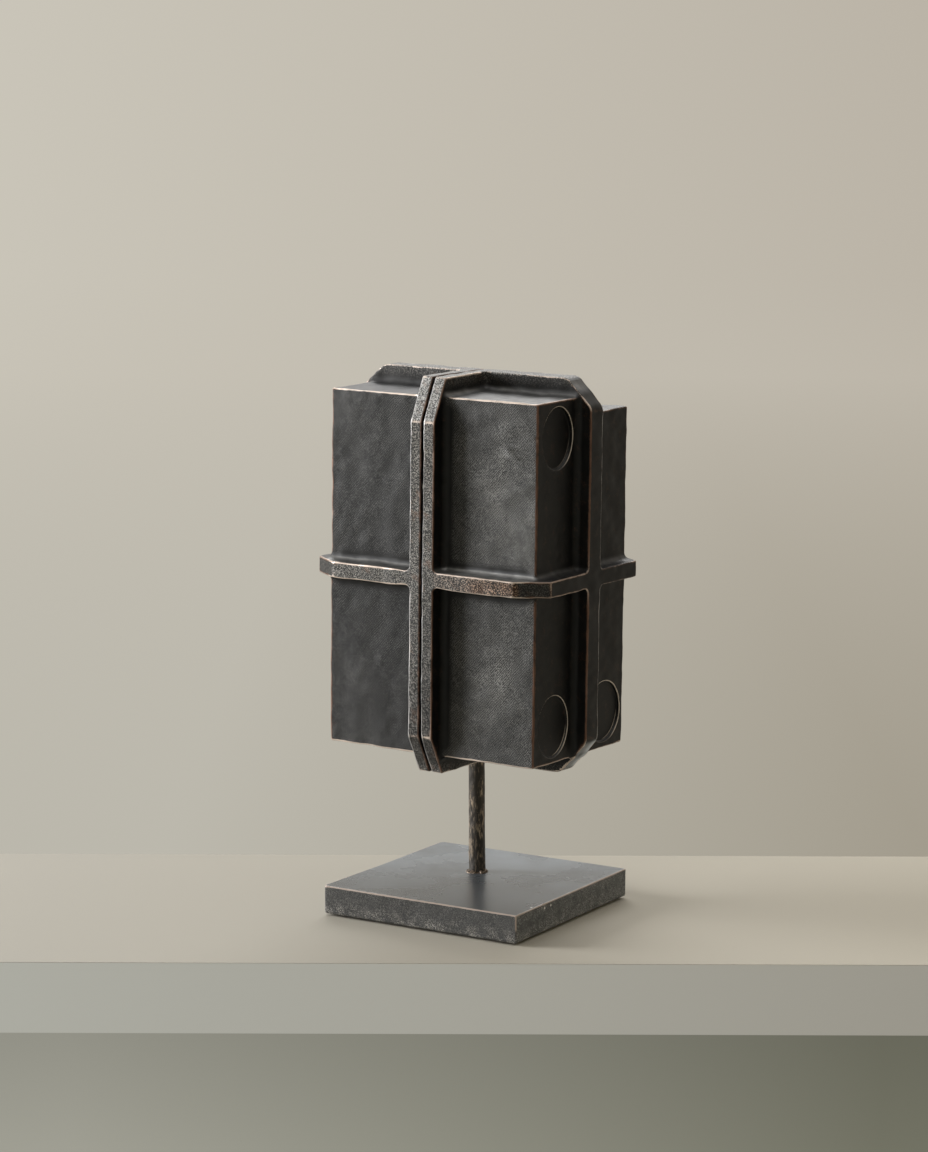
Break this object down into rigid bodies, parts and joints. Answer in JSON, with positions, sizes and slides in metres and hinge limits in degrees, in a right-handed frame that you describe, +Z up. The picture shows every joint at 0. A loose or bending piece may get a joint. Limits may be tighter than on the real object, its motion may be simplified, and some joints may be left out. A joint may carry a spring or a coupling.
{
  "type": "magnetic desk sculpture",
  "caption": "Dark flanged block in halves held together by magnets, turning on a short post on a square plate.",
  "frame": {"origin": "middle of the underside of the pad under the square plate", "axes": "+Z up along the post; X and Y along the plate's sides, with the head's long side 2.5 degrees clockwise of +X"},
  "size_m": [0.1286, 0.1068, 0.2465],
  "materials": {
    "plate_metal": "satin blackened steel with pale worn edges",
    "felt": "black felt",
    "post_metal": "rough dark rod with bronze flecks",
    "braze": "dark braze",
    "patinated_bronze": "dark patina, worn to pale copper along the edges",
    "machined_aluminium": "machined",
    "screw_steel": "blackened steel",
    "bearing_bronze": "turned",
    "cover_sheet": "brushed sheet",
    "magnet_nickel": "nickel plated",
    "dowel_steel": "ground",
    "keeper_steel": "zinc plated"
  },
  "bodies": {
    "stand": {"base_plate": "plate_metal", "base_pad": "felt", "post": "post_metal", "foot_bead": "braze"},
    "fixed_half": {"right_shell": "patinated_bronze", "carrier": "machined_aluminium", "carrier_screws": "screw_steel", "post_bush": "bearing_bronze", "thrust_disc": "bearing_bronze", "retaining_screw": "screw_steel", "right_cover": "cover_sheet", "right_cover_screws": "screw_steel", "right_rim_magnets": "magnet_nickel", "dowels": "dowel_steel", "face_magnet_upper_front": "magnet_nickel", "face_magnet_lower_front": "magnet_nickel", "face_magnet_lower_rear": "magnet_nickel", "face_keeper_upper_front": "keeper_steel", "face_keeper_lower_front": "keeper_steel", "face_keeper_lower_rear": "keeper_steel"},
    "loose_half": {"left_shell": "patinated_bronze", "left_cover": "cover_sheet", "left_cover_screws": "screw_steel", "left_rim_magnets": "magnet_nickel", "dowel_bushes": "bearing_bronze"}
  },
  "joints": [
    {"name": "head_turn", "type": "hinge", "parent": "stand", "child": "fixed_half", "pos_m": [-0.006, 0.009, 0.09], "axis": [0, 0, 1], "continuous": true},
    {"name": "half_pull", "type": "slide", "parent": "fixed_half", "child": "loose_half", "axis": [-0.999, 0.0436, 0], "range_m": [0, 0.09]}
  ]
}
